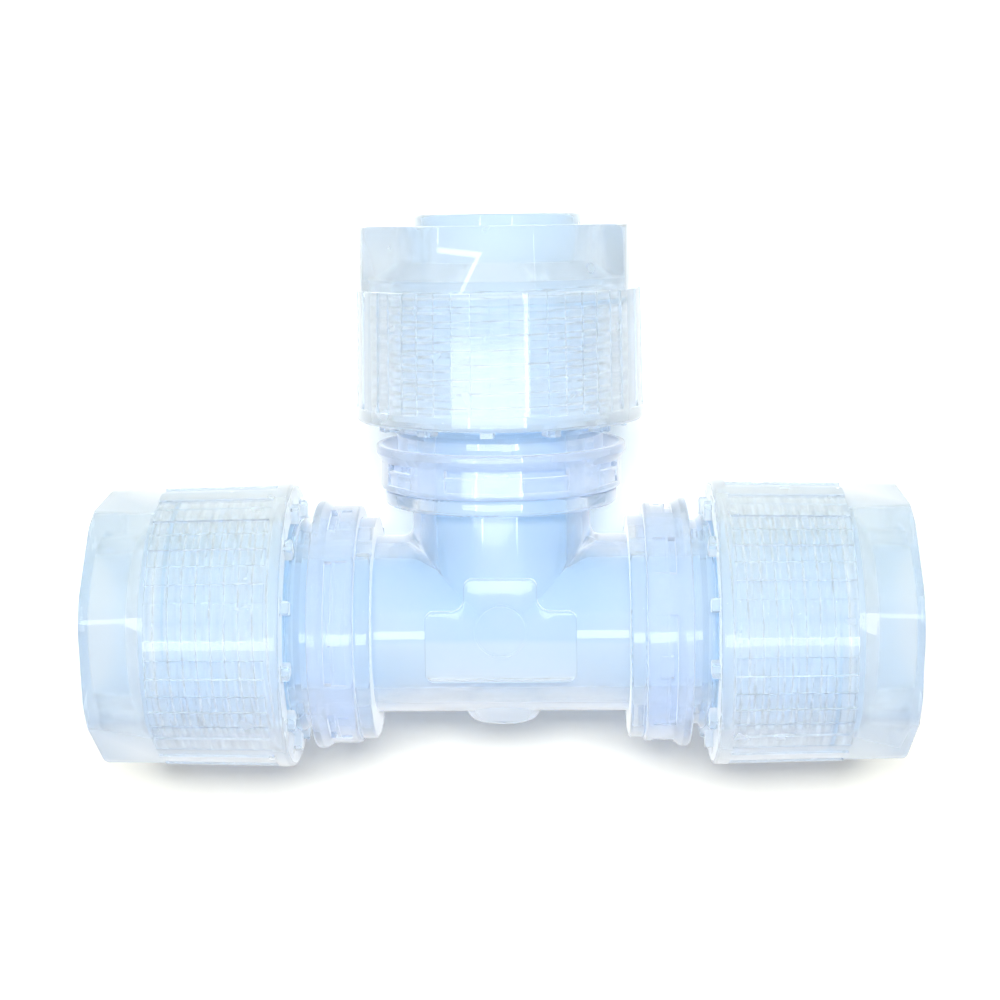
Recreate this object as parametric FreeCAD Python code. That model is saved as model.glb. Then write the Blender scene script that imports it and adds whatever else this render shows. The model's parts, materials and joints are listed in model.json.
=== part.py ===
import FreeCAD, Part
import math
import os

# Union tee for 1 inch fluoropolymer tube, in millimetres.
# It lies flat on its three nuts: the run goes along X, the branch points along +Y and Z is up.
# Stations are distances from the crossing of the axes, outward along a port.

Vector = FreeCAD.Vector

# Tube and flow passage
tube_od = 25.4
tube_wall = 1.6
tube_hole_clearance = 0.15

# Moulded body
pipe_r = 15.0
saddle_fillet = 2.0
collar_start = 21.15
collar_width = 2.55
collar_r = 19.5
collar_edge = 0.55
collar_relief_depth = 1.35
collar_relief_deg = 84.0
neck_r = 17.9
relief_groove_depth = 0.6
relief_groove_overlap = 1.5
thread_r = 18.1
thread_start_gap = 1.5
thread_length = 23.2
thread_lead = 0.9
key_height = 0.7
key_deg = 5.0
key_offset_deg = -4.5
socket_r = 14.2
socket_depth = 13.5
socket_lip = 0.6
seat_length = 2.0

# Raised pad on the front and the back of the body
pad_height = 0.5
pad_wide_half = 12.4
pad_narrow_half = 5.95
pad_low = -6.8
pad_shoulder = 5.0
pad_high = 10.4
pad_corner_r = 1.4
pad_shoulder_r = 2.2
pad_rim = 0.3
mark_r = 4.4
mark_width = 0.35
mark_depth = 0.2

# Gate boss under the run, opposite the branch
boss_base_r = 7.5
boss_top_r = 5.5
boss_height = 1.45
boss_edge = 1.1

# Gauge ring between the collar and the nut
ring_width = 7.5
ring_r = 20.2
ring_clearance = 0.3
ring_seat_gap = 0.1
bead_height = 0.8
bead_width = 2.6
mouth_depth = 2.2
mouth_lip = 1.0
window_count = 3
window_deg = 60.0
side_window_deg = 20.0
window_start = 1.2
window_width = 3.6
window_depth = 0.4
slot_width = 1.2
slot_depth = 1.0
finger_width = 0.5
finger_height = 0.25
stud_deg = 10.8
stud_offset_deg = 5.2
stud_width = 2.1
stud_inset = 0.8
stud_height = 0.3

# Union nut
nut_gap = 4.0
nut_length = 32.2
nut_r = 24.1
nut_lip_edge = 0.75
nut_band = 2.4
rib_length = 19.3
rib_r = 23.98
rib_draft = 0.36
rib_count = 24
rib_deg = 7.5
rib_depth = 0.4
flat_count = 8
flat_apothem = 21.95
octagon_r = 23.45
octagon_draft = 0.15
nut_end_edge = 0.6
thread_clearance = 0.1
stop_clearance = 0.3
shoulder_length = 2.9
shoulder_r = 16.4
mouth_chamfer = 0.8
nose_length = 1.9
nose_r = 13.9
nose_edge = 0.7
hole_chamfer = 0.3
tab_count = 12
tab_width = 2.1
tab_height = 1.3
tab_inner_r = 18.5
tab_outer_r = 21.3

# Inner sleeve that the tube is pushed over
sleeve_clearance = 0.3
plug_length = 10.9
plug_tip = 0.4
tail_length = 3.4
tail_wall = 0.8
bulge_height = 1.1
bulge_length = 1.9
sleeve_edge = 0.3

# How far each nut and ring is turned about its own axis, from straight up towards the left
# of somebody who looks outward along the port
nut_turn = {"right": 16.5, "branch": -16.5, "left": -16.5}
tab_turn = {"right": 19.3, "branch": 4.5, "left": -19.3}
ring_turn = {"right": -15.0, "branch": -4.5, "left": -12.0}
port_heading = {"right": 0.0, "branch": 90.0, "left": 180.0}

# Sizes that follow from the ones above
flow_r = tube_od / 2 - tube_wall
tube_hole_r = tube_od / 2 + tube_hole_clearance
collar_end = collar_start + collar_width
ring_end = collar_end + ring_width
thread_start = ring_end + thread_start_gap
thread_end = thread_start + thread_length
relief_groove_start = ring_end - relief_groove_overlap
socket_start = thread_end - socket_depth
seat_start = socket_start - seat_length
nut_face = ring_end + nut_gap
nut_end = nut_face + nut_length
ribs_start = nut_face + nut_band
ribs_end = ribs_start + rib_length
nose_end = nut_end + nose_length
tighten_travel = nut_gap - tab_height - stop_clearance
thread_bore_r = thread_r + thread_clearance
thread_bore_end = thread_end + tighten_travel + stop_clearance
tube_hole_start = thread_bore_end + shoulder_length
plug_r = socket_r - sleeve_clearance
sleeve_start = seat_start + tighten_travel + stop_clearance
tail_start = sleeve_start + plug_length
sleeve_end = tail_start + tail_length

# Cutters reach past the faces that they open by this much
over = 1.0


def at(station, radius):
    """A profile point of a turned solid about the X axis."""
    return Vector(station, radius, 0)


def rounded_corner(before, corner, after, radius):
    """The two tangent points and the arc that round one corner of a profile."""
    to_before = (before - corner).normalize()
    to_after = (after - corner).normalize()
    half = to_before.getAngle(to_after) / 2
    reach = radius / math.tan(half)
    start = corner + to_before * reach
    end = corner + to_after * reach
    inward = (to_before + to_after).normalize()
    middle = corner + inward * (radius / math.sin(half) - radius)
    return start, middle, end


def profile_face(points):
    """A flat face from points, each a vector or a vector with the radius of its corner."""
    plain = [p if isinstance(p, tuple) else (p, 0.0) for p in points]
    count = len(plain)
    corners = []
    for i, (corner, radius) in enumerate(plain):
        if radius:
            before = plain[i - 1][0]
            after = plain[(i + 1) % count][0]
            corners.append(rounded_corner(before, corner, after, radius))
        else:
            corners.append((corner, None, corner))
    edges = []
    for i, (start, middle, end) in enumerate(corners):
        if middle:
            edges.append(Part.Arc(start, middle, end).toShape())
        following = corners[(i + 1) % count][0]
        if end.distanceToPoint(following) > 1e-7:
            edges.append(Part.LineSegment(end, following).toShape())
    return Part.Face(Part.Wire(edges))


def turned(points, degrees=360.0):
    """A solid turned about the X axis from its profile."""
    return profile_face(points).revolve(Vector(0, 0, 0), Vector(1, 0, 0), degrees)


def sector(start, end, inner_r, outer_r, degrees, inner_r_end=None, outer_r_end=None):
    """A block of a ring, centred on straight up, between two stations and two radii."""
    inner_last = inner_r if inner_r_end is None else inner_r_end
    outer_last = outer_r if outer_r_end is None else outer_r_end
    block = turned(
        [at(start, inner_r), at(start, outer_r), at(end, outer_last), at(end, inner_last)],
        degrees,
    )
    block.rotate(Vector(0, 0, 0), Vector(1, 0, 0), 90 - degrees / 2)
    return block


def around(shape, count, first=0.0):
    """Copies of a shape spaced evenly about the X axis; a positive turn goes from up to left."""
    copies = []
    for i in range(count):
        copy = shape.copy()
        copy.rotate(Vector(0, 0, 0), Vector(1, 0, 0), -(first + i * 360.0 / count))
        copies.append(copy)
    return copies


def turn_about_port(shape, degrees):
    """Turn a shape about the X axis, from up towards the left of an outward look."""
    shape.rotate(Vector(0, 0, 0), Vector(1, 0, 0), -degrees)
    return shape


def at_port(shape, port):
    """Swing a shape made on the X axis to its port."""
    placed = shape.copy()
    placed.rotate(Vector(0, 0, 0), Vector(0, 0, 1), port_heading[port])
    return placed


def port_core():
    """The outside of one port of the body: collar, neck and threaded spigot."""
    return turned([
        at(collar_start, 0),
        (at(collar_start, collar_r), collar_edge),
        (at(collar_end, collar_r), collar_edge),
        at(collar_end, neck_r),
        at(relief_groove_start, neck_r),
        at(relief_groove_start, neck_r - relief_groove_depth),
        at(thread_start, neck_r - relief_groove_depth),
        at(thread_start + thread_lead, thread_r),
        at(thread_end - thread_lead, thread_r),
        at(thread_end, thread_r - thread_lead),
        at(thread_end, 0),
    ])


def neck_key():
    """The short rib in the relief groove of the branch."""
    floor_r = neck_r - relief_groove_depth
    key = sector(
        relief_groove_start, thread_start, floor_r - over, floor_r + key_height, key_deg,
    )
    return turn_about_port(key, key_offset_deg)


def port_passage():
    """The inside of one port of the body: flow bore, seat cone and sleeve socket."""
    return turned([
        at(0, 0),
        at(0, flow_r),
        at(seat_start, flow_r),
        at(socket_start, socket_r),
        at(thread_end - socket_lip, socket_r),
        at(thread_end, socket_r + socket_lip),
        at(thread_end + over, socket_r + socket_lip),
        at(thread_end + over, 0),
    ])


def pipes():
    """The run and the branch, with the seam between them blended."""
    run = Part.makeCylinder(pipe_r, 2 * collar_start, Vector(-collar_start, 0, 0), Vector(1, 0, 0))
    branch = Part.makeCylinder(pipe_r, collar_start, Vector(0, 0, 0), Vector(0, 1, 0))
    joined = run.fuse(branch).removeSplitter().Solids[0]
    seam = [
        edge for edge in joined.Edges
        if max(edge.BoundBox.XMax, -edge.BoundBox.XMin, edge.BoundBox.YMax) < pipe_r + 1e-3
    ]
    return joined.makeFillet(saddle_fillet, seam)


def pad_outline(height):
    """The wide panel with a narrower neck towards the branch, at one height."""
    def point(x, y):
        return Vector(x, y, height)
    return profile_face([
        (point(-pad_wide_half, pad_low), pad_corner_r),
        (point(pad_wide_half, pad_low), pad_corner_r),
        (point(pad_wide_half, pad_shoulder), pad_corner_r),
        (point(pad_narrow_half, pad_shoulder), pad_shoulder_r),
        (point(pad_narrow_half, pad_high), pad_corner_r),
        (point(-pad_narrow_half, pad_high), pad_corner_r),
        (point(-pad_narrow_half, pad_shoulder), pad_shoulder_r),
        (point(-pad_wide_half, pad_shoulder), pad_corner_r),
    ])


def pad():
    """One raised pad with a softened rim and a fine circle pressed into it."""
    top = pipe_r + pad_height
    block = pad_outline(0).extrude(Vector(0, 0, top))
    rim = [e for e in block.Edges if abs(e.BoundBox.ZMin - top) < 1e-6]
    block = block.makeFillet(pad_rim, rim)
    middle = Vector(0, (pad_low + pad_high) / 2, top - mark_depth)
    groove = Part.makeCylinder(mark_r, mark_depth + over, middle)
    groove = groove.cut(Part.makeCylinder(mark_r - mark_width, mark_depth + over, middle))
    return block.cut(groove)


def gate_boss():
    """The low round boss under the run."""
    face = profile_face([
        Vector(0, 0, 0),
        Vector(boss_base_r, 0, 0),
        Vector(boss_base_r, pipe_r - boss_height, 0),
        (Vector(boss_top_r, pipe_r + boss_height, 0), boss_edge),
        Vector(0, pipe_r + boss_height, 0),
    ])
    boss = face.revolve(Vector(0, 0, 0), Vector(0, 1, 0), 360)
    boss.rotate(Vector(0, 0, 0), Vector(0, 0, 1), 180)
    return boss


def make_body():
    """The moulded tee body."""
    body = pipes()
    for port in port_heading:
        body = body.fuse(at_port(port_core(), port))
    body = body.fuse(at_port(neck_key(), "branch"))
    front = pad()
    back = front.copy()
    back.rotate(Vector(0, 0, 0), Vector(0, 1, 0), 180)
    body = body.fuse([front, back, gate_boss()])
    relief = sector(
        collar_start - over, collar_end + over,
        collar_r - collar_relief_depth, collar_r + over, collar_relief_deg,
    )
    relief.rotate(Vector(0, 0, 0), Vector(1, 0, 0), -90)
    for side in (1, -1):
        cutter = relief if side > 0 else relief.mirror(Vector(0, 0, 0), Vector(1, 0, 0))
        body = body.cut(cutter)
    for port in port_heading:
        body = body.cut(at_port(port_passage(), port))
    return body.removeSplitter()


def make_ring():
    """One gauge ring: thin wall, beaded rim, funnel mouth and shallow windows."""
    inner_r = neck_r + ring_clearance
    bead_r = ring_r + bead_height
    start = collar_end + ring_seat_gap
    ring = turned([
        at(start, inner_r),
        (at(start, ring_r), collar_edge),
        at(ring_end - bead_width, ring_r),
        (at(ring_end - bead_width / 2, bead_r), bead_height / 2),
        (at(ring_end, bead_r), bead_height / 2),
        at(ring_end, bead_r - mouth_lip),
        at(ring_end - mouth_depth, inner_r),
    ])
    wide = ring_window(start + window_start, window_deg)
    stud = sector(
        start + window_start + stud_inset, start + window_start + stud_inset + stud_width,
        ring_r - slot_depth, ring_r - window_depth + stud_height, stud_deg,
    )
    wide = wide.cut(turn_about_port(stud, stud_offset_deg))
    narrow = ring_window(start + window_start, side_window_deg)
    half_step = 180.0 / window_count
    for cutter in around(wide, window_count) + around(narrow, window_count, half_step):
        ring = ring.cut(cutter)
    return ring


def ring_window(first, degrees):
    """A cutter for one shallow window: a shelf, a finger across it and a deeper slot."""
    last = first + window_width
    slot_start = last - slot_width
    shelf_r = ring_r - window_depth
    shelf = sector(first, last, shelf_r, ring_r + over, degrees)
    slot = sector(slot_start, last, ring_r - slot_depth, ring_r + over, degrees)
    finger = sector(
        slot_start - finger_width, slot_start, shelf_r, shelf_r + finger_height, degrees,
    )
    return shelf.fuse(slot).cut(finger)


def nut_blank():
    """The nut before its ribs and flats: band, drafted barrel, octagon stock and nose."""
    return turned([
        at(nut_face, thread_bore_r + mouth_chamfer),
        (at(nut_face, nut_r), nut_lip_edge),
        at(ribs_start, nut_r),
        at(ribs_start, rib_r),
        at(ribs_end, rib_r - rib_draft),
        at(ribs_end, octagon_r),
        (at(nut_end, octagon_r - octagon_draft), nut_end_edge),
        at(nut_end, nose_r),
        (at(nose_end, nose_r), nose_edge),
        at(nose_end, tube_hole_r + hole_chamfer),
        at(nose_end - hole_chamfer, tube_hole_r),
        at(tube_hole_start, tube_hole_r),
        at(thread_bore_end, shoulder_r),
        at(thread_bore_end, thread_bore_r),
        at(nut_face + mouth_chamfer, thread_bore_r),
    ])


def make_nut(tab_phase):
    """One union nut: grip ribs, eight spanner flats, end tabs, tube hole."""
    nut = nut_blank()
    groove = sector(
        ribs_start, ribs_end, rib_r - rib_depth, nut_r + over,
        360.0 / rib_count - rib_deg, rib_r - rib_draft - rib_depth, nut_r + over,
    )
    half_rib = 180.0 / rib_count
    for cutter in around(groove, rib_count, half_rib):
        nut = nut.cut(cutter)
    flat = Part.makeBox(
        nut_length, 2 * nut_r, nut_r, Vector(ribs_end, -nut_r, flat_apothem),
    )
    half_flat = 180.0 / flat_count
    for cutter in around(flat, flat_count, half_flat):
        nut = nut.cut(cutter)
    tab = Part.makeBox(
        tab_height + over, tab_width, tab_outer_r - tab_inner_r,
        Vector(nut_face - tab_height, -tab_width / 2, tab_inner_r),
    )
    corners = [e for e in tab.Edges if abs(e.BoundBox.XMax - (nut_face - tab_height)) < 1e-6]
    tab = tab.makeChamfer(tab_width / 12, corners)
    return nut.fuse(around(tab, tab_count, tab_phase)).removeSplitter()


def make_sleeve():
    """One inner sleeve: plug for the body's socket, bulge and tail for the tube."""
    tail_r = flow_r + tail_wall
    slope = (socket_r - flow_r) / seat_length
    nose_rise = plug_r - flow_r - plug_tip
    bulge_middle = tail_start + bulge_length / 2
    return turned([
        at(sleeve_start, flow_r),
        at(sleeve_start, flow_r + plug_tip),
        at(sleeve_start + nose_rise / slope, plug_r),
        (at(tail_start, plug_r), sleeve_edge),
        at(tail_start, tail_r),
        (at(bulge_middle, tail_r + bulge_height), sleeve_edge),
        at(tail_start + bulge_length, tail_r),
        (at(sleeve_end, tail_r), sleeve_edge),
        at(sleeve_end, flow_r),
    ])


def export(shape, node):
    """Move a finished piece so that the tee rests on Z = 0 about its middle, and write it."""
    middle_y = (nose_end - nut_r) / 2
    piece = shape.copy()
    piece.translate(Vector(0, -middle_y, nut_r))
    solid = piece.Solids[0]
    if len(piece.Solids) != 1 or not solid.isValid():
        raise RuntimeError(node + " isn't one valid solid")
    solid.exportStep("parts/" + node + ".step")
    print(node, round(solid.Volume / 1000, 3), "cm3")


def main():
    """Build every piece and write one file for each."""
    os.makedirs("parts", exist_ok=True)
    export(make_body(), "tee_body")
    ring = make_ring()
    sleeve = make_sleeve()
    for port in port_heading:
        tab_phase = tab_turn[port] - nut_turn[port]
        nut = turn_about_port(make_nut(tab_phase), nut_turn[port])
        export(at_port(nut, port), "union_nut_" + port)
        turned_ring = turn_about_port(ring.copy(), ring_turn[port])
        export(at_port(turned_ring, port), "gauge_ring_" + port)
        export(at_port(sleeve, port), "inner_sleeve_" + port)


if __name__ == "__main__":
    main()
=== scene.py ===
import json
import math

import bmesh
import bpy
from bpy.props import FloatProperty, FloatVectorProperty, PointerProperty
from mathutils import Matrix, Vector


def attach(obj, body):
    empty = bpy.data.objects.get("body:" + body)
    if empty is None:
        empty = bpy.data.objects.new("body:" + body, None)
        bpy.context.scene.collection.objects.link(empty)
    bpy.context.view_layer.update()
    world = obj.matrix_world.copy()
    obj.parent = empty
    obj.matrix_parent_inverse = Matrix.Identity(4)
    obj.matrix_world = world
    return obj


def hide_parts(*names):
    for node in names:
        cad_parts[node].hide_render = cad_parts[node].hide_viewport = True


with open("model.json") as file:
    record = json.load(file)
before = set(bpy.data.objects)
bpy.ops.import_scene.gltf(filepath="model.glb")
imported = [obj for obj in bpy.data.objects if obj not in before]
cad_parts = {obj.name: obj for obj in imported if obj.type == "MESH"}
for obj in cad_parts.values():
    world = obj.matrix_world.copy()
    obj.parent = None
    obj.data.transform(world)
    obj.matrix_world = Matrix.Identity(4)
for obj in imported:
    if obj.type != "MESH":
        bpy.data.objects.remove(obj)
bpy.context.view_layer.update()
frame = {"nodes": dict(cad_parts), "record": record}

bl_info = {
    "name": "Union Tee Looks",
    "version": (1, 0, 0),
    "blender": (4, 5, 0),
    "location": "View3D > Sidebar > Union Tee",
    "description": "Dresses the packed union tee: screw threads, milky plastic, studio",
    "category": "Object",
}

PORTS = ("right", "branch", "left")
HEADING = {"right": 0.0, "branch": 90.0, "left": 180.0}
MM = 0.001
MOUNTS = {mount["name"]: mount for mount in frame["record"]["mounts"]}
RIGHT_PORT = MOUNTS["tube_port_right"]["pos_m"]
CROSSING = Vector((0.0, RIGHT_PORT[1], RIGHT_PORT[2]))

# The threads' meshes
PORT_PROFILE = (0.14, 0.36)  # pitches from a groove's middle to where its floor and its flank end
NUT_PROFILE = (0.10, 0.30)
BAND_TOLERANCE = 0.012 * MM  # how far a corner of the plain band may lie off its radius
WELD = 0.0005 * MM
LEAD_IN = 0.55  # pitches over which a thread rises and fades at its ends
INSET = 0.02 * MM  # between the band's rim and the thread's first row
SHARP_ANGLE = math.radians(28)
END_BLEND = 2.5 * MM  # length over which the tint of a piece's outer end sets in

# How each kind of plastic piece takes the light
BODY_FINISH = {"roughness": 0.12, "gloss": 1.0, "matt_end": 1.0, "scale": 60.0}
NUT_FINISH = {"roughness": 0.25, "gloss": 0.9, "matt_end": 0.0, "scale": 50.0}
RING_FINISH = {"roughness": 0.12, "gloss": 0.3, "matt_end": 0.0, "scale": 80.0}
SLEEVE_FINISH = {"roughness": 0.2, "gloss": 0.3, "matt_end": 0.0, "scale": 80.0}
CLOUD_SHARE = 0.2  # share of the inner tint in the clouds of the skin
ROUGHNESS_SPREAD = 0.3  # share of the roughness by which it varies
MILKY = {
    "IOR": 1.27,
    "Transmission Weight": 0.78,
    "Specular IOR Level": 0.1,
    "Coat Roughness": 0.05,
    "Coat IOR": 1.4,
    "Sheen Weight": 0.65,
    "Sheen Roughness": 0.4,
    "Sheen Tint": (0.97, 0.98, 1.0, 1),
}

# The stage, in metres and watts
FLOOR_REACH = 3.0
FLOOR_FADE = (0.25, 1.2)  # distances from the tee between which the floor turns white
WALL_TURN = (-0.8, 0.8)  # from the near wall to the far one
WALL_HEIGHT = (0.15, 0.6)  # from the walls' colours to the white above
WALL_ENDS = (0.45, 0.85)  # from the walls' colours to the white at the sides
BOUNCES = 40
TRANSPARENT_BOUNCES = 32
NOISE_THRESHOLD = 0.05
# Lamps that light the surfaces: place from the crossing, size, power, colour
FILL_LAMPS = (
    ("key_lamp", (0, 0.36, 0.87), (0.5, 0.18), 9.4, (1.0, 1.0, 0.92)),
    ("far_fill", (0, 0.9, 0.4), (1.2, 0.2), 3.0, (0.85, 1.0, 0.45)),
    ("left_fill", (-0.85, 0.1, 0.5), (0.2, 0.5), 0.5, (0.97, 0.97, 1.0)),
    ("right_fill", (0.85, 0.1, 0.5), (0.2, 0.5), 0.5, (0.97, 0.97, 1.0)),
)
# Lamps that only show as highlights: place from the crossing, size, power
SHINE_LAMPS = (
    ("front_strip", (-0.12, -0.06, 0.9), (1.0, 0.16), 3.0),
    ("left_strip", (-0.38, 0.05, 0.9), (0.03, 0.4), 0.5),
    ("right_strip", (0.34, 0.05, 0.9), (0.03, 0.4), 0.5),
)
SENSOR_WIDTH = 36
CAMERA_OFFSET = Vector((8.1, 68.67, 315.33)) * MM
CAMERA_TURN = (-0.1181, 0.0245, -0.0125)
CAMERA_SHIFT = -0.06


# Sizes and colours a user may change

class ThreadSettings(bpy.types.PropertyGroup):
    """The screw thread cut on the ports and in the nuts"""

    pitch: FloatProperty(
        name="Pitch", description="Advance of the thread in one turn",
        default=2.309 * MM, min=0.5 * MM, unit="LENGTH", precision=5,
    )
    port_radius: FloatProperty(
        name="Port Radius", description="Radius of the crests of the ports' threads",
        default=18.1 * MM, min=1 * MM, unit="LENGTH", precision=5,
    )
    port_depth: FloatProperty(
        name="Port Depth", description="Depth of the grooves between the ports' crests",
        default=1.1 * MM, min=0.1 * MM, unit="LENGTH", precision=5,
    )
    nut_radius: FloatProperty(
        name="Nut Radius", description="Radius of the roots of the nuts' threads",
        default=18.2 * MM, min=1 * MM, unit="LENGTH", precision=5,
    )
    nut_depth: FloatProperty(
        name="Nut Depth", description="Height of the nuts' ridges above their roots",
        default=0.5 * MM, min=0.1 * MM, unit="LENGTH", precision=5,
    )
    spigot_start: FloatProperty(
        name="Spigot Start", description="Distance of the body's threads from the crossing",
        default=34.5 * MM, min=1 * MM, unit="LENGTH", precision=5,
    )
    octagon_start: FloatProperty(
        name="Octagon Start", description="Distance of the nuts' octagons from the crossing",
        default=56.9 * MM, min=1 * MM, unit="LENGTH", precision=5,
    )
    row_step: FloatProperty(
        name="Row Step", description="Distance between two rows of the thread's mesh",
        default=0.2 * MM, min=0.05 * MM, unit="LENGTH", precision=5,
    )


class PlasticSettings(bpy.types.PropertyGroup):
    """The milky fluoropolymer of the four kinds of piece"""

    body_skin: FloatVectorProperty(
        name="Body Skin", description="Tint of the outside of the moulded body",
        subtype="COLOR", size=3, default=(0.95, 0.965, 1.0), min=0, max=1,
    )
    body_inside: FloatVectorProperty(
        name="Body Inside", description="Tint of the bores of the moulded body",
        subtype="COLOR", size=3, default=(0.44, 0.74, 1.0), min=0, max=1,
    )
    body_spigot: FloatVectorProperty(
        name="Body Spigot", description="Tint of the threaded ends of the moulded body",
        subtype="COLOR", size=3, default=(0.70, 0.87, 1.0), min=0, max=1,
    )
    nut_skin: FloatVectorProperty(
        name="Nut Skin", description="Tint of the outside of the union nuts",
        subtype="COLOR", size=3, default=(0.885, 0.945, 1.0), min=0, max=1,
    )
    nut_inside: FloatVectorProperty(
        name="Nut Inside", description="Tint of the bores of the union nuts",
        subtype="COLOR", size=3, default=(0.935, 0.97, 1.0), min=0, max=1,
    )
    nut_end: FloatVectorProperty(
        name="Nut End", description="Tint of the octagons of the union nuts",
        subtype="COLOR", size=3, default=(0.73, 0.84, 0.95), min=0, max=1,
    )
    ring_colour: FloatVectorProperty(
        name="Ring Colour", description="Tint of the gauge rings",
        subtype="COLOR", size=3, default=(0.84, 0.905, 1.0), min=0, max=1,
    )
    sleeve_colour: FloatVectorProperty(
        name="Sleeve Colour", description="Tint of the inner sleeves",
        subtype="COLOR", size=3, default=(0.97, 0.985, 1.0), min=0, max=1,
    )


class StageSettings(bpy.types.PropertyGroup):
    """Floor, lamps and camera"""

    floor_colour: FloatVectorProperty(
        name="Floor Colour", description="Colour of the floor",
        subtype="COLOR", size=3, default=(0.95, 0.94, 0.92), min=0, max=1,
    )
    floor_seen: FloatVectorProperty(
        name="Floor Seen", description="Colour of the floor where it shows in the plastic",
        subtype="COLOR", size=3, default=(0.83, 0.84, 0.86), min=0, max=1,
    )
    floor_glow: FloatProperty(
        name="Floor Glow", description="Light that lifts the floor towards white near the tee",
        default=0.05, min=0,
    )
    sky_strength: FloatProperty(
        name="Sky Strength", description="Light from all round",
        default=0.40, min=0,
    )
    near_wall: FloatVectorProperty(
        name="Near Wall", description="Colour of the low part of the room before the tee",
        subtype="COLOR", size=3, default=(0.74, 0.79, 1.0), min=0, max=1,
    )
    far_wall: FloatVectorProperty(
        name="Far Wall", description="Colour of the low part of the room behind the tee",
        subtype="COLOR", size=3, default=(0.58, 0.68, 0.54), min=0, max=1,
    )
    lens: FloatProperty(
        name="Lens", description="Focal length for a sensor 36 mm wide",
        default=67.67, min=10,
    )


# Meshes

def port_frame(port):
    """The matrix from a port's own frame, with X outward and Z up, to the row frame."""
    return Matrix.Translation(CROSSING) @ Matrix.Rotation(math.radians(HEADING[port]), 4, "Z")


def thread_phase(station, angle, pitch):
    """Where a point lies across the groove, 0 in its middle and 0.5 on the crest."""
    turns = (station + pitch * angle / (2 * math.pi)) / pitch
    return abs((turns % 1.0) - 0.5)


def ease(value):
    """A smooth step from 0 to 1."""
    value = min(1.0, max(0.0, value))
    return value * value * (3 - 2 * value)


def cut_thread(bm, port, radius, depth, profile, settings):
    """Swap the plain band of one port for a helical thread that is depth deep in the groove."""
    floor_end, flank_end = profile
    place = port_frame(port)
    back = place.inverted()
    local = {v: back @ v.co for v in bm.verts}
    band = []
    for face in bm.faces:
        points = [local[v] for v in face.verts]
        on_band = all(
            abs(math.hypot(p.y, p.z) - radius) < BAND_TOLERANCE and p.x > 0 for p in points
        )
        if on_band:
            band.append(face)
    if not band:
        raise RuntimeError("no plain thread band on port " + port)
    stations = [local[v].x for face in band for v in face.verts]
    first, last = min(stations), max(stations)
    rim = {edge for face in band for edge in face.edges}
    bmesh.ops.delete(bm, geom=band, context="FACES_ONLY")
    rim = [edge for edge in rim if edge.is_valid and len(edge.link_faces) == 1]
    loose = [edge for edge in bm.edges if not edge.link_faces]
    bmesh.ops.delete(bm, geom=loose, context="EDGES")
    ends = {"first": [], "last": []}
    for edge in rim:
        middle = sum(local[v].x for v in edge.verts) / 2
        ends["first" if middle < (first + last) / 2 else "last"].append(edge)
    count = len(ends["first"])
    rows = max(8, round((last - first) / settings.row_step))
    lead = LEAD_IN * settings.pitch
    rings = []
    for row in range(rows + 1):
        station = first + INSET + (last - first - 2 * INSET) * row / rows
        fade = ease((station - first) / lead) * ease((last - station) / lead)
        ring = []
        for column in range(count):
            angle = 2 * math.pi * column / count
            across = thread_phase(station, angle, settings.pitch)
            cut = ease((flank_end - across) / (flank_end - floor_end)) * depth * fade
            point = Vector((
                station,
                (radius - cut) * math.sin(angle),
                (radius - cut) * math.cos(angle),
            ))
            ring.append(bm.verts.new(place @ point))
        rings.append(ring)
    for lower, upper in zip(rings, rings[1:]):
        for column in range(count):
            nxt = (column + 1) % count
            bm.faces.new((lower[column], lower[nxt], upper[nxt], upper[column]))
    for ring, end in ((rings[0], ends["first"]), (rings[-1], ends["last"])):
        edges = [
            bm.edges.get((ring[column], ring[(column + 1) % count])) for column in range(count)
        ]
        bmesh.ops.bridge_loops(bm, edges=edges + end)


def mark_walls(mesh, ports, end):
    """Store how far each point faces its port's axis, and whether it lies beyond the end."""
    inverses = [port_frame(port).inverted() for port in ports]
    values = []
    beyond = []
    for vertex in mesh.vertices:
        local = [back @ vertex.co for back in inverses]
        outward = [math.hypot(p.y, p.z) if p.x > 0 else math.inf for p in local]
        nearest = outward.index(min(outward))
        place = local[nearest]
        facing = inverses[nearest].to_3x3() @ vertex.normal
        length = max(math.hypot(place.y, place.z), 1e-6)
        values.append(ease(0.5 - (facing.y * place.y + facing.z * place.z) / length))
        beyond.append(ease((place.x - end) / END_BLEND + 0.5))
    inside = mesh.attributes.new("inside", "FLOAT", "POINT")
    inside.data.foreach_set("value", values)
    outer = mesh.attributes.new("outer_end", "FLOAT", "POINT")
    outer.data.foreach_set("value", beyond)


def dressed_copy(node, name, ports, radius, depth, profile, end, body):
    """A copy of a CAD node with real threads, which stands for that node."""
    source = frame["nodes"][node]
    bm = bmesh.new()
    bm.from_mesh(source.data)
    bmesh.ops.remove_doubles(bm, verts=bm.verts, dist=WELD)
    settings = bpy.context.scene.tee_threads
    for port in ports:
        cut_thread(bm, port, radius, depth, profile, settings)
    bmesh.ops.recalc_face_normals(bm, faces=bm.faces)
    for face in bm.faces:
        face.smooth = True
    for edge in bm.edges:
        edge.smooth = len(edge.link_faces) == 2 and edge.calc_face_angle(0.0) < SHARP_ANGLE
    mesh = bpy.data.meshes.new(name)
    bm.to_mesh(mesh)
    bm.free()
    mark_walls(mesh, ports, end)
    piece = bpy.data.objects.new(name, mesh)
    bpy.context.scene.collection.objects.link(piece)
    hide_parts(node)
    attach(piece, body)
    return piece


# Materials

def add_node(tree, kind, place, **values):
    """A node with its properties set, and its inputs where the name starts with a capital."""
    node = tree.nodes.new(kind)
    node.location = place
    for key, value in values.items():
        if key in node.inputs:
            node.inputs[key].default_value = value
        else:
            setattr(node, key, value)
    return node


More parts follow.
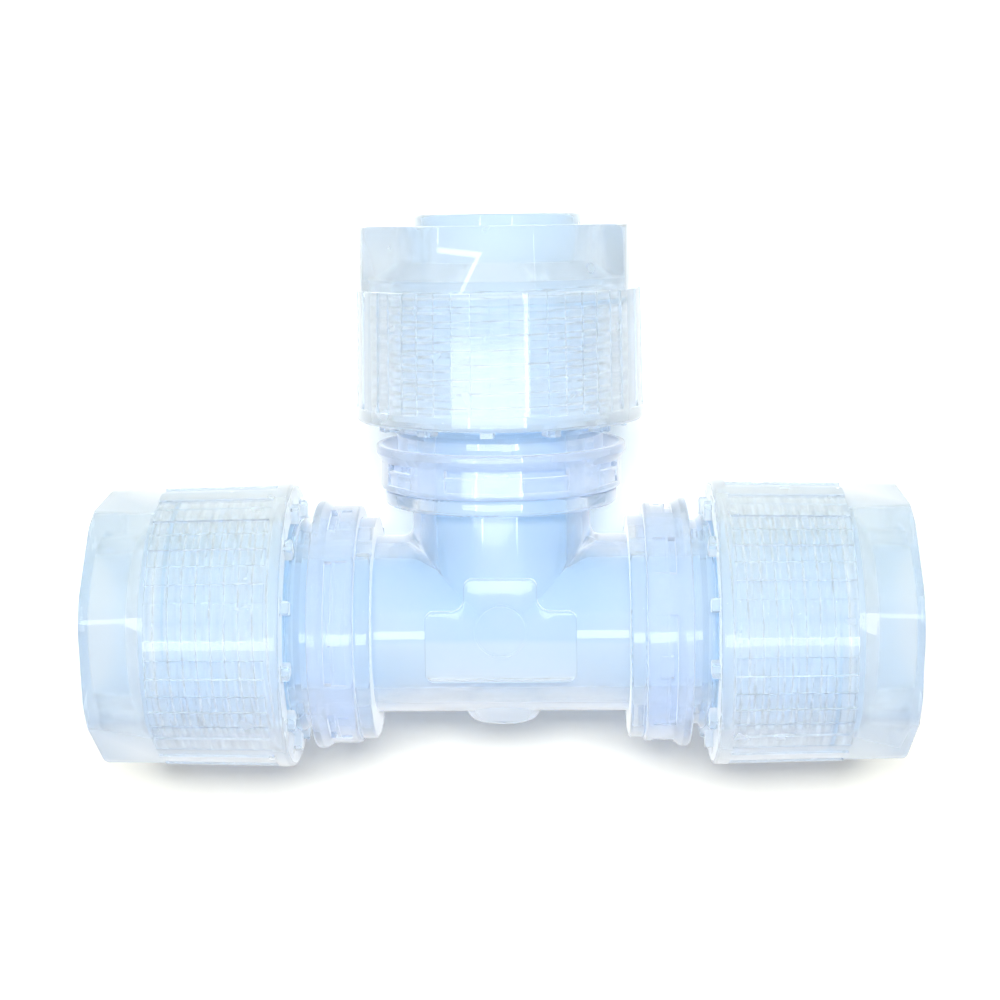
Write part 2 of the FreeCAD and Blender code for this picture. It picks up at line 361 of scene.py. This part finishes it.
def new_group(name, inputs, outputs):
    """An empty node group with its sockets, and its input and output nodes."""
    group = bpy.data.node_groups.new(name, "ShaderNodeTree")
    for label, kind, value in inputs:
        socket = group.interface.new_socket(label, in_out="INPUT", socket_type=kind)
        socket.default_value = value
    for label, kind in outputs:
        group.interface.new_socket(label, in_out="OUTPUT", socket_type=kind)
    given = add_node(group, "NodeGroupInput", (-700, 0))
    result = add_node(group, "NodeGroupOutput", (700, 0))
    return group, given, result


def between(node, first, last, low=0.0, high=1.0):
    """Set a Map Range node to go from low at the first value to high at the last."""
    node.inputs["From Min"].default_value = first
    node.inputs["From Max"].default_value = last
    node.inputs["To Min"].default_value = low
    node.inputs["To Max"].default_value = high


def cloud_group():
    """Slow clouds in the tint of the skin, and the deeper tint of the walls that face inward."""
    group, given, result = new_group(
        "Milky Clouds",
        [
            ("Skin", "NodeSocketColor", (1, 1, 1, 1)),
            ("Clouds", "NodeSocketColor", (0.9, 0.95, 1, 1)),
            ("Inside", "NodeSocketColor", (0.8, 0.9, 1, 1)),
            ("End", "NodeSocketColor", (0.8, 0.9, 1, 1)),
            ("Scale", "NodeSocketFloat", 40.0),
        ],
        [("Colour", "NodeSocketColor")],
    )
    place = add_node(group, "ShaderNodeTexCoord", (-700, -250))
    noise = add_node(group, "ShaderNodeTexNoise", (-450, -100), Detail=0.0)
    spread = add_node(group, "ShaderNodeMapRange", (-200, -100))
    between(spread, 0.35, 0.65)
    clouded = add_node(group, "ShaderNodeMix", (0, 0), data_type="RGBA")
    wall = add_node(group, "ShaderNodeAttribute", (-200, -400), attribute_name="inside")
    mix = add_node(group, "ShaderNodeMix", (250, 0), data_type="RGBA")
    outer = add_node(group, "ShaderNodeAttribute", (250, -300), attribute_name="outer_end")
    last = add_node(group, "ShaderNodeMix", (500, 0), data_type="RGBA")
    link = group.links.new
    link(place.outputs["Object"], noise.inputs["Vector"])
    link(given.outputs["Scale"], noise.inputs["Scale"])
    link(noise.outputs["Fac"], spread.inputs["Value"])
    link(spread.outputs["Result"], clouded.inputs["Factor"])
    link(given.outputs["Skin"], clouded.inputs["A"])
    link(given.outputs["Clouds"], clouded.inputs["B"])
    link(wall.outputs["Fac"], mix.inputs["Factor"])
    link(clouded.outputs["Result"], mix.inputs["A"])
    link(given.outputs["Inside"], mix.inputs["B"])
    link(outer.outputs["Fac"], last.inputs["Factor"])
    link(mix.outputs["Result"], last.inputs["A"])
    link(given.outputs["End"], last.inputs["B"])
    link(last.outputs["Result"], result.inputs["Colour"])


def skin_group():
    """Fine unevenness of a moulded skin: how rough it is and how high it stands."""
    group, given, result = new_group(
        "Moulded Skin",
        [
            ("Roughness", "NodeSocketFloat", 0.2),
            ("Spread", "NodeSocketFloat", 0.05),
            ("Inside", "NodeSocketFloat", 0.35),
            ("Gloss", "NodeSocketFloat", 1.0),
            ("Matt End", "NodeSocketFloat", 0.0),
            ("Scale", "NodeSocketFloat", 300.0),
        ],
        [
            ("Roughness", "NodeSocketFloat"),
            ("Gloss", "NodeSocketFloat"),
            ("Height", "NodeSocketFloat"),
        ],
    )
    place = add_node(group, "ShaderNodeTexCoord", (-700, -250))
    noise = add_node(group, "ShaderNodeTexNoise", (-450, -100), Detail=0.0)
    centred = add_node(group, "ShaderNodeMath", (-200, -100), operation="SUBTRACT")
    centred.inputs[1].default_value = 0.5
    offset = add_node(group, "ShaderNodeMath", (0, 0), operation="MULTIPLY_ADD")
    link = group.links.new
    link(place.outputs["Object"], noise.inputs["Vector"])
    link(given.outputs["Scale"], noise.inputs["Scale"])
    link(noise.outputs["Fac"], centred.inputs[0])
    link(centred.outputs["Value"], offset.inputs[0])
    link(given.outputs["Spread"], offset.inputs[1])
    link(given.outputs["Roughness"], offset.inputs[2])
    wall = add_node(group, "ShaderNodeAttribute", (-400, -400), attribute_name="inside")
    outer = add_node(group, "ShaderNodeAttribute", (-400, -600), attribute_name="outer_end")
    end = add_node(group, "ShaderNodeMath", (-200, -600), operation="MULTIPLY")
    matt = add_node(group, "ShaderNodeMath", (0, -400), operation="MAXIMUM")
    link(outer.outputs["Fac"], end.inputs[0])
    link(given.outputs["Matt End"], end.inputs[1])
    link(wall.outputs["Fac"], matt.inputs[0])
    link(end.outputs["Value"], matt.inputs[1])
    rough = add_node(group, "ShaderNodeMix", (250, 0), data_type="FLOAT")
    gloss = add_node(group, "ShaderNodeMix", (250, -300), data_type="FLOAT")
    gloss.inputs["B"].default_value = 0.0
    link(matt.outputs["Value"], rough.inputs["Factor"])
    link(offset.outputs["Value"], rough.inputs["A"])
    link(given.outputs["Inside"], rough.inputs["B"])
    link(matt.outputs["Value"], gloss.inputs["Factor"])
    link(given.outputs["Gloss"], gloss.inputs["A"])
    link(rough.outputs["Result"], result.inputs["Roughness"])
    link(gloss.outputs["Result"], result.inputs["Gloss"])
    link(noise.outputs["Fac"], result.inputs["Height"])


def plastic_material(name, skin_colour, inside_colour, end_colour, finish):
    """Milky fluoropolymer: clouded skin, deeper inner walls, partly clear, glossy on top."""
    material = bpy.data.materials.new(name)
    material.use_nodes = True
    tree = material.node_tree
    tree.nodes.clear()
    out = add_node(tree, "ShaderNodeOutputMaterial", (400, 0))
    shader = add_node(tree, "ShaderNodeBsdfPrincipled", (100, 0))
    groups = bpy.data.node_groups
    clouds = add_node(tree, "ShaderNodeGroup", (-300, 100), node_tree=groups["Milky Clouds"])
    skin = add_node(tree, "ShaderNodeGroup", (-500, -200), node_tree=groups["Moulded Skin"])
    bump = add_node(tree, "ShaderNodeBump", (-200, -200), Strength=0.1, Distance=0.05 * MM)
    cloud_colour = (
        (1 - CLOUD_SHARE) * outer + CLOUD_SHARE * inner
        for outer, inner in zip(skin_colour, inside_colour)
    )
    clouds.inputs["Skin"].default_value = (*skin_colour, 1)
    clouds.inputs["Clouds"].default_value = (*cloud_colour, 1)
    clouds.inputs["Inside"].default_value = (*inside_colour, 1)
    clouds.inputs["End"].default_value = (*end_colour, 1)
    clouds.inputs["Scale"].default_value = finish["scale"]
    skin.inputs["Roughness"].default_value = finish["roughness"]
    skin.inputs["Spread"].default_value = finish["roughness"] * ROUGHNESS_SPREAD
    skin.inputs["Gloss"].default_value = finish["gloss"]
    skin.inputs["Matt End"].default_value = finish["matt_end"]
    link = tree.links.new
    link(clouds.outputs["Colour"], shader.inputs["Base Color"])
    link(skin.outputs["Roughness"], shader.inputs["Roughness"])
    link(skin.outputs["Gloss"], shader.inputs["Coat Weight"])
    link(skin.outputs["Height"], bump.inputs["Height"])
    link(bump.outputs["Normal"], shader.inputs["Normal"])
    link(shader.outputs["BSDF"], out.inputs["Surface"])
    for label, value in MILKY.items():
        shader.inputs[label].default_value = value
    return material


def dress(piece, material):
    """Give a piece its one material."""
    piece.data.materials.clear()
    piece.data.materials.append(material)


class OBJECT_OT_tee_body(bpy.types.Operator):
    """Build the moulded body with its three screw threads"""

    bl_idname = "object.tee_body_dress"
    bl_label = "Tee Body"

    def execute(self, context):
        threads = context.scene.tee_threads
        plastic = context.scene.tee_plastic
        piece = dressed_copy(
            "tee_body", "moulded_body", PORTS, threads.port_radius, threads.port_depth,
            PORT_PROFILE, threads.spigot_start, "tee",
        )
        material = plastic_material(
            "Body Plastic", plastic.body_skin, plastic.body_inside, plastic.body_spigot,
            BODY_FINISH,
        )
        dress(piece, material)
        return {"FINISHED"}


class OBJECT_OT_tee_nuts(bpy.types.Operator):
    """Build the three union nuts with their inner threads"""

    bl_idname = "object.tee_nuts_dress"
    bl_label = "Union Nuts"

    def execute(self, context):
        threads = context.scene.tee_threads
        plastic = context.scene.tee_plastic
        material = plastic_material(
            "Nut Plastic", plastic.nut_skin, plastic.nut_inside, plastic.nut_end, NUT_FINISH,
        )
        for port in PORTS:
            piece = dressed_copy(
                "union_nut_" + port, "threaded_nut_" + port, (port,), threads.nut_radius,
                threads.nut_depth, NUT_PROFILE, threads.octagon_start, "nut_" + port,
            )
            dress(piece, material)
        return {"FINISHED"}


class OBJECT_OT_tee_rings(bpy.types.Operator):
    """Give the gauge rings and the inner sleeves their plastic"""

    bl_idname = "object.tee_rings_dress"
    bl_label = "Gauge Rings and Sleeves"

    def execute(self, context):
        plastic = context.scene.tee_plastic
        ring = plastic_material(
            "Ring Plastic", plastic.ring_colour, plastic.ring_colour, plastic.ring_colour,
            RING_FINISH,
        )
        sleeve = plastic_material(
            "Sleeve Plastic", plastic.sleeve_colour, plastic.sleeve_colour,
            plastic.sleeve_colour, SLEEVE_FINISH,
        )
        for port in PORTS:
            for node, material in (("gauge_ring_", ring), ("inner_sleeve_", sleeve)):
                data = frame["nodes"][node + port].data
                data.materials.clear()
                data.materials.append(material)
        return {"FINISHED"}


def ray_socket(tree, *rays):
    """A socket that is 1 for the rays of the kinds that are named."""
    path = add_node(tree, "ShaderNodeLightPath", (-800, -200))
    total = path.outputs[rays[0]]
    for i, ray in enumerate(rays[1:]):
        either = add_node(tree, "ShaderNodeMath", (-600 + 200 * i, -200), operation="MAXIMUM")
        tree.links.new(total, either.inputs[0])
        tree.links.new(path.outputs[ray], either.inputs[1])
        total = either.outputs["Value"]
    return total


def floor_material(colour, seen, glow):
    """A pale floor that keeps the shadow; in plastic it shows evenly in its seen colour."""
    material = bpy.data.materials.new("Studio Floor")
    material.use_nodes = True
    tree = material.node_tree
    shader = tree.nodes["Principled BSDF"]
    shader.inputs["Roughness"].default_value = 1.0
    shader.inputs["Specular IOR Level"].default_value = 0.0
    shader.inputs["Emission Color"].default_value = (*seen, 1)
    through = ray_socket(tree, "Is Transmission Ray", "Is Glossy Ray")
    shade = add_node(tree, "ShaderNodeMix", (-200, 0), data_type="RGBA")
    shade.inputs["A"].default_value = (*colour, 1)
    shade.inputs["B"].default_value = (0, 0, 0, 1)
    place = add_node(tree, "ShaderNodeTexCoord", (-1000, -600))
    distance = add_node(tree, "ShaderNodeVectorMath", (-800, -600), operation="LENGTH")
    far = add_node(tree, "ShaderNodeMapRange", (-600, -600))
    between(far, *FLOOR_FADE, glow, 1.0)
    lift = add_node(tree, "ShaderNodeMath", (-200, -300), operation="MULTIPLY_ADD")
    link = tree.links.new
    link(through, shade.inputs["Factor"])
    link(shade.outputs["Result"], shader.inputs["Base Color"])
    link(place.outputs["Object"], distance.inputs[0])
    link(distance.outputs["Value"], far.inputs["Value"])
    link(ray_socket(tree, "Is Camera Ray"), lift.inputs[0])
    link(far.outputs["Result"], lift.inputs[1])
    link(through, lift.inputs[2])
    link(lift.outputs["Value"], shader.inputs["Emission Strength"])
    material.cycles.emission_sampling = "NONE"
    return material


def add_floor(stage):
    """Lay the floor under the tee."""
    mesh = bpy.data.meshes.new("studio_floor")
    corners = [
        (x * FLOOR_REACH, y * FLOOR_REACH, 0) for x, y in ((-1, -1), (1, -1), (1, 1), (-1, 1))
    ]
    mesh.from_pydata(corners, [], [(0, 1, 2, 3)])
    floor = bpy.data.objects.new("studio_floor", mesh)
    bpy.context.scene.collection.objects.link(floor)
    mesh.materials.append(floor_material(stage.floor_colour, stage.floor_seen, stage.floor_glow))


def add_room(stage):
    """A room with tinted walls to mirror, white above, at its sides and for the camera."""
    world = bpy.data.worlds.new("Studio Sky")
    bpy.context.scene.world = world
    world.use_nodes = True
    world.cycles.sampling_method = "NONE"
    tree = world.node_tree
    sky = tree.nodes["Background"]
    place = add_node(tree, "ShaderNodeTexCoord", (-1200, 200))
    split = add_node(tree, "ShaderNodeSeparateXYZ", (-1000, 200))
    across = add_node(tree, "ShaderNodeMapRange", (-800, 300))
    between(across, *WALL_TURN)
    height = add_node(tree, "ShaderNodeMapRange", (-800, 50))
    between(height, *WALL_HEIGHT)
    side = add_node(tree, "ShaderNodeMath", (-1000, -50), operation="ABSOLUTE")
    ends = add_node(tree, "ShaderNodeMapRange", (-800, -100))
    between(ends, *WALL_ENDS)
    open_part = add_node(tree, "ShaderNodeMath", (-650, 0), operation="MAXIMUM")
    plain = add_node(tree, "ShaderNodeMath", (-500, 50), operation="MAXIMUM")
    walls = add_node(tree, "ShaderNodeMix", (-500, 250), data_type="RGBA")
    walls.inputs["A"].default_value = (*stage.near_wall, 1)
    walls.inputs["B"].default_value = (*stage.far_wall, 1)
    room = add_node(tree, "ShaderNodeMix", (-300, 150), data_type="RGBA")
    room.inputs["B"].default_value = (1, 1, 1, 1)
    strength = add_node(tree, "ShaderNodeMapRange", (-200, -100))
    between(strength, 0.0, 1.0, stage.sky_strength, 1.0)
    seen = ray_socket(tree, "Is Camera Ray", "Is Glossy Ray", "Is Transmission Ray")
    link = tree.links.new
    link(place.outputs["Generated"], split.inputs["Vector"])
    link(split.outputs["Y"], across.inputs["Value"])
    link(across.outputs["Result"], walls.inputs["Factor"])
    link(split.outputs["Z"], height.inputs["Value"])
    link(split.outputs["X"], side.inputs[0])
    link(side.outputs["Value"], ends.inputs["Value"])
    link(height.outputs["Result"], open_part.inputs[0])
    link(ends.outputs["Result"], open_part.inputs[1])
    link(open_part.outputs["Value"], plain.inputs[0])
    link(ray_socket(tree, "Is Camera Ray"), plain.inputs[1])
    link(plain.outputs["Value"], room.inputs["Factor"])
    link(walls.outputs["Result"], room.inputs["A"])
    link(room.outputs["Result"], sky.inputs["Color"])
    link(seen, strength.inputs["Value"])
    link(strength.outputs["Result"], sky.inputs["Strength"])


def strip_lamp(name, offset, size, energy):
    """A rectangular lamp over the tee, turned towards its middle."""
    data = bpy.data.lights.new(name, "AREA")
    data.shape = "RECTANGLE"
    data.size, data.size_y = size
    data.energy = energy
    lamp = bpy.data.objects.new(name, data)
    bpy.context.scene.collection.objects.link(lamp)
    lamp.location = CROSSING + offset
    back = offset.normalized()
    along = Vector((0, 1, 0)).cross(back).normalized()
    lamp.rotation_euler = Matrix((along, back.cross(along), back)).transposed().to_euler()
    return lamp


def add_lamps():
    """Hang the lamps that light the surfaces, and those that only show in their gloss."""
    for name, offset, size, energy, colour in FILL_LAMPS:
        lamp = strip_lamp(name, Vector(offset), size, energy)
        lamp.data.color = colour
        lamp.visible_glossy = False
        lamp.visible_transmission = False
    for name, offset, size, energy in SHINE_LAMPS:
        lamp = strip_lamp(name, Vector(offset), size, energy)
        lamp.visible_diffuse = False


def add_camera(lens):
    """Place the camera where the photo was taken."""
    data = bpy.data.cameras.new("photo_camera")
    data.sensor_width = SENSOR_WIDTH
    data.lens = lens
    data.shift_y = CAMERA_SHIFT
    data.clip_start = 0.01
    camera = bpy.data.objects.new("photo_camera", data)
    bpy.context.scene.collection.objects.link(camera)
    camera.location = CROSSING + CAMERA_OFFSET
    camera.rotation_euler = CAMERA_TURN
    bpy.context.scene.camera = camera


class OBJECT_OT_tee_stage(bpy.types.Operator):
    """Set the floor, the lamps and the camera"""

    bl_idname = "object.tee_stage"
    bl_label = "Stage"

    def execute(self, context):
        scene = context.scene
        scene.view_settings.view_transform = "Standard"
        scene.cycles.blur_glossy = 0.0
        scene.cycles.adaptive_threshold = NOISE_THRESHOLD
        scene.cycles.max_bounces = BOUNCES
        scene.cycles.transmission_bounces = BOUNCES
        scene.cycles.glossy_bounces = BOUNCES
        scene.cycles.diffuse_bounces = BOUNCES
        scene.cycles.transparent_max_bounces = TRANSPARENT_BOUNCES
        add_floor(scene.tee_stage)
        add_room(scene.tee_stage)
        add_lamps()
        add_camera(scene.tee_stage.lens)
        return {"FINISHED"}


class VIEW3D_PT_union_tee(bpy.types.Panel):
    """The steps that dress the tee, in their order"""

    bl_idname = "VIEW3D_PT_union_tee"
    bl_label = "Union Tee"
    bl_space_type = "VIEW_3D"
    bl_region_type = "UI"
    bl_category = "Union Tee"

    def draw(self, context):
        for step in STEPS:
            self.layout.operator(step.bl_idname)
        for group in (
            context.scene.tee_threads, context.scene.tee_plastic, context.scene.tee_stage,
        ):
            box = self.layout.box()
            for key in group.__annotations__:
                box.prop(group, key)


GROUPS = (
    ("tee_threads", ThreadSettings),
    ("tee_plastic", PlasticSettings),
    ("tee_stage", StageSettings),
)
STEPS = (OBJECT_OT_tee_stage, OBJECT_OT_tee_body, OBJECT_OT_tee_nuts, OBJECT_OT_tee_rings)


def register():
    for name, group in GROUPS:
        bpy.utils.register_class(group)
        setattr(bpy.types.Scene, name, PointerProperty(type=group))
    for step in (*STEPS, VIEW3D_PT_union_tee):
        bpy.utils.register_class(step)


def unregister():
    for step in reversed((*STEPS, VIEW3D_PT_union_tee)):
        bpy.utils.unregister_class(step)
    for name, group in reversed(GROUPS):
        delattr(bpy.types.Scene, name)
        bpy.utils.unregister_class(group)


def main():
    """Dress the tee step by step."""
    register()
    cloud_group()
    skin_group()
    bpy.ops.object.tee_stage()
    bpy.ops.object.tee_body_dress()
    bpy.ops.object.tee_nuts_dress()
    bpy.ops.object.tee_rings_dress()


if __name__ == "__main__":
    main()
